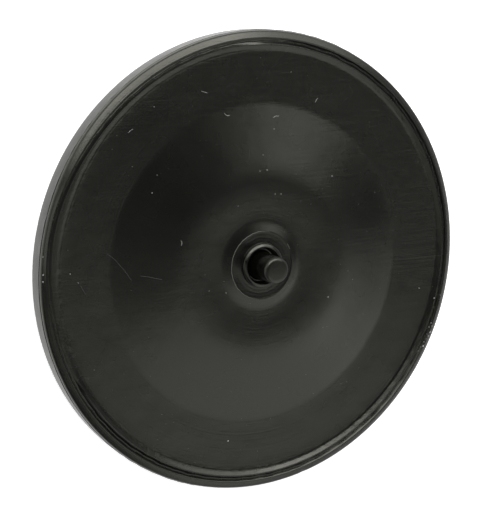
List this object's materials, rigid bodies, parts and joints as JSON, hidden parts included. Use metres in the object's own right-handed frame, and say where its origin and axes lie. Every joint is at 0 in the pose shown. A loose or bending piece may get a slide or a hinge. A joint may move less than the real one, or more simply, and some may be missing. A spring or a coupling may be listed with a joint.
{
  "type": "diaphragm seal",
  "caption": "Round moulded rubber diaphragm seal with a thick rim bead, a low domed membrane and a centre pin.",
  "frame": {"origin": "centre of the rim's flat seat, on the axis of the disc", "axes": "+Z along the axis, out of the side that the pin stands on; X and Y are any two directions across the disc"},
  "size_m": [0.1, 0.1, 0.0152],
  "materials": {
    "rubber": "satin moulded"
  },
  "bodies": {
    "root": {"diaphragm": "rubber"}
  },
  "joints": []
}
